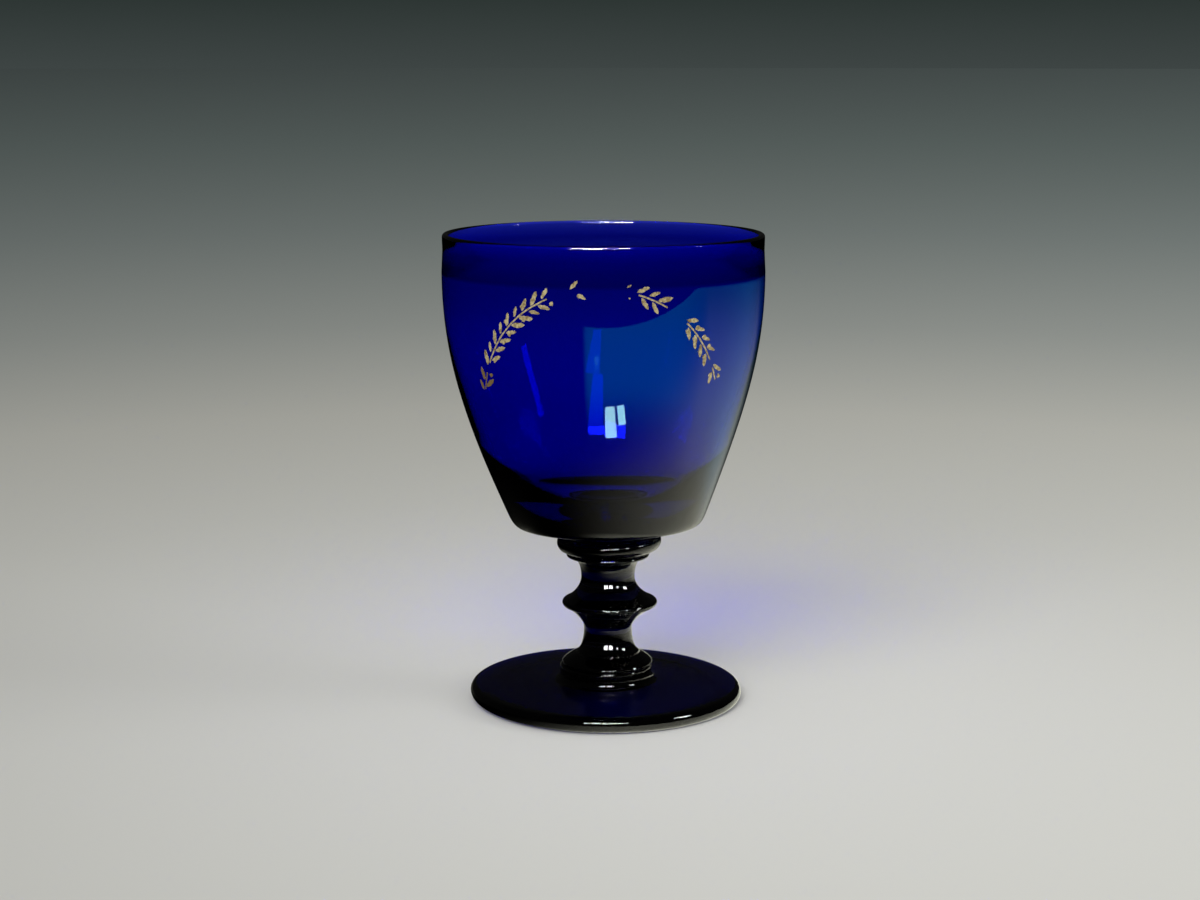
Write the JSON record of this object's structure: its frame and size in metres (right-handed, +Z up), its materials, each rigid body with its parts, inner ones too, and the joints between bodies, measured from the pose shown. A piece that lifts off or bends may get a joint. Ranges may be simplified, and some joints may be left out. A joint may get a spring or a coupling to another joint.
{
  "type": "rummer",
  "caption": "Stemmed blue drinking glass with a deep rounded bowl, collared and knopped short stem and round foot.",
  "frame": {"origin": "centre of the foot's flat resting ring, on the glass's axis", "axes": "+Z up along the glass's axis, +X to the right and -Y towards the viewer of the picture"},
  "size_m": [0.0848, 0.0848, 0.1254],
  "materials": {
    "cobalt_glass": "fire-polished, transparent deep cobalt blue",
    "gilding": "worn matt fired gilding, on the visual model only"
  },
  "bodies": {
    "root": {"foot": "cobalt_glass", "foot_collar": "cobalt_glass", "knopped_stem": "cobalt_glass", "stem_ring": "cobalt_glass", "bowl_collar": "cobalt_glass", "bowl": "cobalt_glass"}
  },
  "joints": []
}
